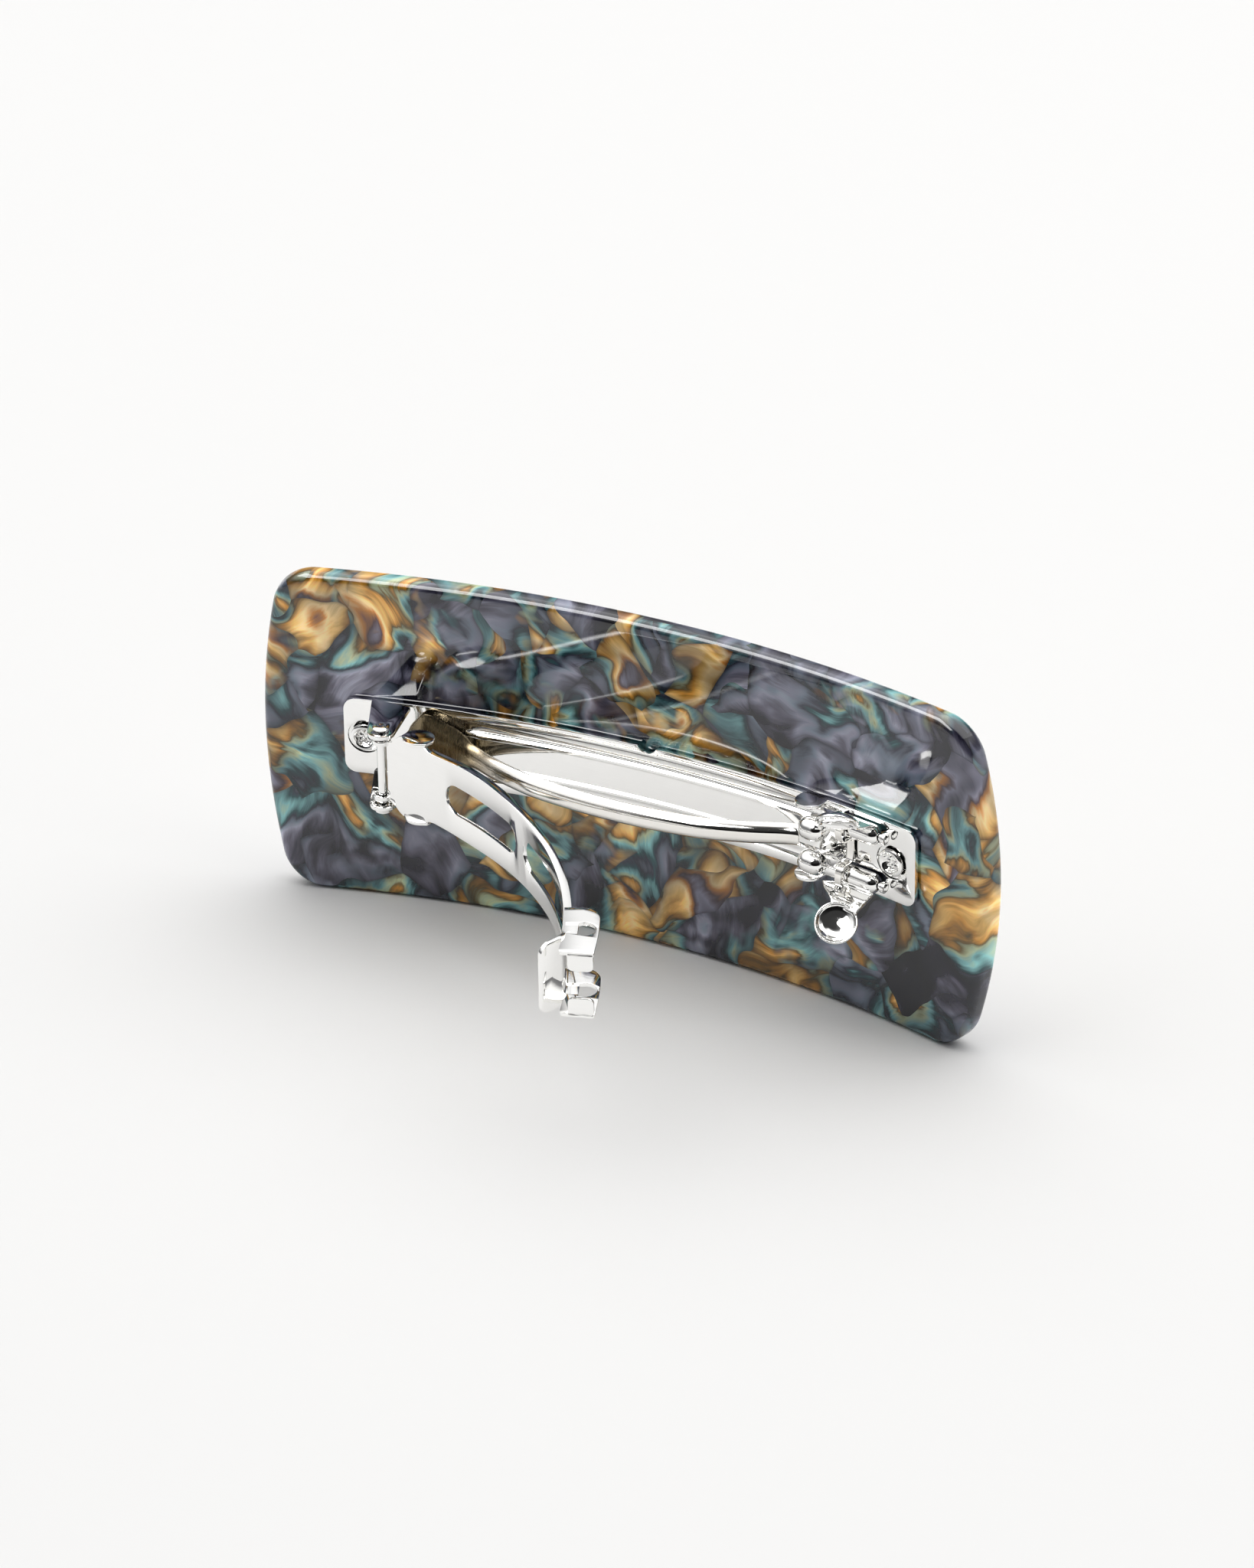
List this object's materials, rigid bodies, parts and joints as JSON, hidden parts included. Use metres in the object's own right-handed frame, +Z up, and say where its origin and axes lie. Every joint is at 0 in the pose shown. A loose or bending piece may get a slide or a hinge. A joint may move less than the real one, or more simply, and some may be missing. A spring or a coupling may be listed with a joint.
{
  "type": "barrette",
  "caption": "Automatic hair barrette: a curved rectangular acetate plate with a riveted metal clip, a slotted hinged clamp arm, an arched tension bow and squeeze-lever catch.",
  "frame": {"origin": "on the long edge the plate stands on, at mid length and halfway through the plate's thickness", "axes": "+X along the plate from the hinge end to the clasp end, +Z up across the plate's width, the clip on the -Y side"},
  "size_m": [0.1022, 0.0533, 0.0453],
  "materials": {
    "acetate": "polished, mottled dark navy, smoke grey, amber and teal",
    "nickel": "bright nickel plate",
    "spring_steel": "bright spring steel with fine drawing lines"
  },
  "bodies": {
    "root": {"acetate_plate": "acetate", "base_bar": "nickel", "rivet_left": "nickel", "rivet_right": "nickel", "hinge_pin": "nickel", "tension_bow": "spring_steel", "lever_pin_upper": "nickel", "lever_pin_lower": "nickel", "clasp_spring": "spring_steel"},
    "arm": {"clamp_arm": "nickel"},
    "lever_upper": {"clasp_lever_upper": "nickel"},
    "lever_lower": {"clasp_lever_lower": "nickel"}
  },
  "joints": [
    {"name": "arm_hinge", "type": "hinge", "parent": "root", "child": "arm", "pos_m": [-0.03127, -0.01203, 0.02265], "axis": [0, 0, 1], "range_deg": [-15, 40], "deforming": ["tension_bow"]},
    {"name": "upper_lever_squeeze", "type": "hinge", "parent": "root", "child": "lever_upper", "pos_m": [0.03027, -0.00492, 0.02605], "axis": [0.9802, -0.1979, 0], "range_deg": [0, 12], "stiffness_Nm_per_rad": 0.02},
    {"name": "lower_lever_squeeze", "type": "hinge", "parent": "root", "child": "lever_lower", "pos_m": [0.03027, -0.00492, 0.01925], "axis": [-0.9802, 0.1979, 0], "range_deg": [0, 12], "stiffness_Nm_per_rad": 0.02}
  ]
}
